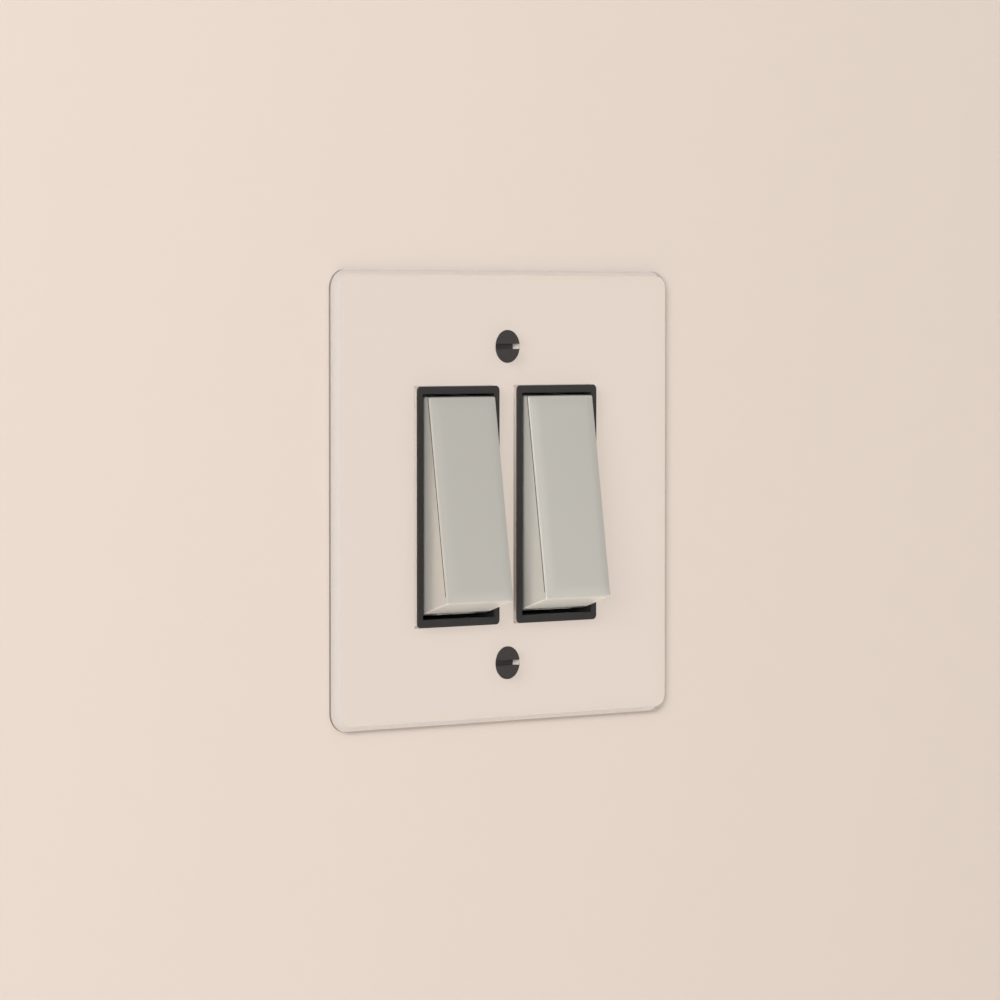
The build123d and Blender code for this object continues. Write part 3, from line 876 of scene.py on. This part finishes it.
def painted_surface(name, colour, low, high):
    """Plain emulsion paint, matt, that can't be seen from behind so that the back of the switch shows.

    A share of it glows with its own colour to the eye, in mirrors and through glass, which keeps shadows
    pale.
    The share is the second one under the plate: painted light standing in for the light that the plate's
    clear body spreads there.
    """
    fade_start = 3 * MM
    fade_end = 0.5 * MM
    material = empty_material(name)
    tree = material.node_tree
    seen = seen_directly(tree)
    place = add(tree, "ShaderNodeTexCoord")
    floor, ceiling = (Vector(corner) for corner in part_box("face_plate"))
    centred = add(tree, "ShaderNodeVectorMath", {
        0: place.outputs["Object"], 1: ((floor + ceiling) / 2)[:]}, operation="SUBTRACT")
    sized = add(tree, "ShaderNodeVectorMath", {0: centred.outputs["Vector"]}, operation="ABSOLUTE")
    split = add(tree, "ShaderNodeSeparateXYZ", {"Vector": sized.outputs["Vector"]})
    reach = add(tree, "ShaderNodeMath", {0: split.outputs["X"], 1: split.outputs["Z"]}, operation="MAXIMUM")
    edge = (ceiling.x - floor.x) / 2
    # Painted light: the glow share is the high one under the plate and falls to the low one between 3 and
    # 0.5 mm inside its edge.
    plate_glow_share = add(tree, "ShaderNodeMapRange", {
        "Value": reach.outputs[0],
        "From Min": edge - fade_start,
        "From Max": edge - fade_end,
        "To Min": high,
        "To Max": low,
    })
    share = add(tree, "ShaderNodeMath", {
        0: seen.outputs[0], 1: plate_glow_share.outputs["Result"]}, operation="MULTIPLY")
    matt = add(tree, "ShaderNodeBsdfDiffuse", {"Color": opaque(colour)})
    plain = add(tree, "ShaderNodeEmission", {"Color": opaque(colour)})
    paint = add(tree, "ShaderNodeMixShader", {0: share.outputs[0], 1: matt.outputs[0], 2: plain.outputs[0]})
    clear = add(tree, "ShaderNodeBsdfTransparent")
    side = add(tree, "ShaderNodeNewGeometry")
    mix = add(tree, "ShaderNodeMixShader", {
        0: side.outputs["Backfacing"], 1: paint.outputs[0], 2: clear.outputs[0]})
    add(tree, "ShaderNodeOutputMaterial", {"Surface": mix.outputs[0]})
    return material


def softbox(name, place, aim, size, watts, receivers=None, blockers=None):
    """A square area light at a place, turned towards its aim, kept out of mirrors.

    It lights all pieces or a few, and all pieces or a few stand in its way.
    """
    lamp = bpy.data.lights.new(name, "AREA")
    lamp.shape = "SQUARE"
    lamp.size = size
    lamp.energy = watts
    holder = bpy.data.objects.new(name, lamp)
    holder.location = place
    holder.rotation_euler = (Vector(aim) - Vector(place)).to_track_quat("-Z", "Y").to_euler()
    holder.visible_camera = False
    holder.visible_glossy = False
    holder.light_linking.receiver_collection = receivers
    holder.light_linking.blocker_collection = blockers
    bpy.context.scene.collection.objects.link(holder)
    return holder


class SWITCH_OT_stage(bpy.types.Operator):
    """Set up the wall, the floor, the light and the camera."""

    bl_idname = "switch.stage"
    bl_label = "Stage"

    def execute(self, context):
        scene = context.scene
        looks = scene.switch_stage
        half_size = 4.0
        wall_depth = 0.06 * MM
        floor_height = -1.1
        inset = 0.45 * MM
        corners = [[list(corner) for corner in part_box(f"{side}_base")] for side in SIDES]
        boxes = np.array(corners)[:, :, [0, 2]]
        wall = pierced_wall("wall", half_size, wall_depth, boxes[:, 0] + inset, boxes[:, 1] - inset)
        wall.data.materials.append(painted_surface("wall_emulsion", looks.wall_colour, 0.15, 0.75))
        floor = level_sheet("floor", half_size, floor_height)
        floor.data.materials.append(painted_surface("floor_emulsion", looks.floor_colour, 0.6, 0.6))
        world = bpy.data.worlds.new("room_light")
        world.use_nodes = True
        world.node_tree.nodes.clear()
        seen = seen_directly(world.node_tree)
        level = add(world.node_tree, "ShaderNodeMapRange", {
            "Value": seen.outputs[0], "To Min": looks.sky_level, "To Max": looks.backdrop_level})
        glow = add(world.node_tree, "ShaderNodeBackground", {
            "Color": opaque(looks.sky_colour), "Strength": level.outputs["Result"]})
        add(world.node_tree, "ShaderNodeOutputWorld", {"Surface": glow.outputs[0]})
        scene.world = world
        caps = bpy.data.collections.new("rocker_caps")
        for side in SIDES:
            caps.objects.link(bpy.data.objects[f"{side}_pressed_cap"])
        beyond = bpy.data.collections.new("right_module")
        beyond.objects.link(bpy.data.objects["right_pressed_cap"])
        beyond.objects.link(frame["nodes"]["right_housing"])
        softbox("main_softbox", (-1.6, -1.1, 0.48), (0, -0.005, 0), 0.9, 36.0)
        softbox("fill_softbox", (0.55, -1.3, 0.5), (0, 0, 0), 0.5, 0.8)
        softbox("end_softbox", (0.03, -0.06, -0.25), (0, -0.007, -0.02), 0.1, 0.7, caps)
        softbox("flank_softbox", (-1.6, -0.3, 0.2), (0.013, -0.004, 0), 0.6, 11.0, beyond, beyond)
        lens = bpy.data.cameras.new("camera")
        lens.lens = looks.lens
        lens.sensor_width = SENSOR_WIDTH
        lens.clip_start = 0.01
        camera = bpy.data.objects.new("camera", lens)
        back = Vector((
            math.sin(looks.azimuth) * math.cos(looks.elevation),
            -math.cos(looks.azimuth) * math.cos(looks.elevation),
            math.sin(looks.elevation),
        ))
        camera.location = Vector(looks.aim) + looks.distance * back
        camera.rotation_euler = back.to_track_quat("Z", "Y").to_euler()
        scene.collection.objects.link(camera)
        scene.camera = camera
        scene.view_settings.view_transform = "Standard"
        return {"FINISHED"}


class SWITCH_PT_looks(bpy.types.Panel):
    """Lists the switch's finishes and the buttons that make them."""

    bl_idname = "SWITCH_PT_looks"
    bl_label = "Rocker switch"
    bl_space_type = "VIEW_3D"
    bl_region_type = "UI"
    bl_category = "Switch"

    def draw(self, context):
        for group, operators in PANEL_ROWS:
            box = self.layout.box()
            looks = getattr(context.scene, group)
            for key in looks.bl_rna.properties.keys():
                if key not in ("rna_type", "name"):
                    box.prop(looks, key)
            for operator in operators:
                box.operator(operator)


PANEL_ROWS = (
    ("switch_plate", ("switch.clear_plate", "switch.plate_screws")),
    ("switch_rocker", ("switch.rocker_caps",)),
    ("switch_moulding", ("switch.mouldings",)),
    ("switch_metal", ("switch.contacts", "switch.springs")),
    ("switch_stage", ("switch.stage",)),
)
GROUPS = {
    "switch_plate": SwitchPlateLooks,
    "switch_rocker": SwitchRockerLooks,
    "switch_moulding": SwitchMouldingLooks,
    "switch_metal": SwitchMetalLooks,
    "switch_stage": SwitchStageLooks,
}
TOOLS = (
    SWITCH_OT_clear_plate,
    SWITCH_OT_plate_screws,
    SWITCH_OT_mouldings,
    SWITCH_OT_rocker_caps,
    SWITCH_OT_contacts,
    SWITCH_OT_springs,
    SWITCH_OT_stage,
    SWITCH_PT_looks,
)


def register():
    """Adds the property groups, operators and panel."""
    for name, group in GROUPS.items():
        bpy.utils.register_class(group)
        setattr(bpy.types.Scene, name, bpy.props.PointerProperty(type=group))
    for tool in TOOLS:
        bpy.utils.register_class(tool)


def unregister():
    """Removes what register added."""
    for tool in reversed(TOOLS):
        bpy.utils.unregister_class(tool)
    for name, group in GROUPS.items():
        delattr(bpy.types.Scene, name)
        bpy.utils.unregister_class(group)


def main():
    """Registers the add-on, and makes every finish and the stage."""
    register()
    bpy.ops.switch.clear_plate()
    bpy.ops.switch.plate_screws()
    bpy.ops.switch.mouldings()
    bpy.ops.switch.rocker_caps()
    bpy.ops.switch.contacts()
    bpy.ops.switch.springs()
    bpy.ops.switch.stage()


if __name__ == "__main__":
    main()
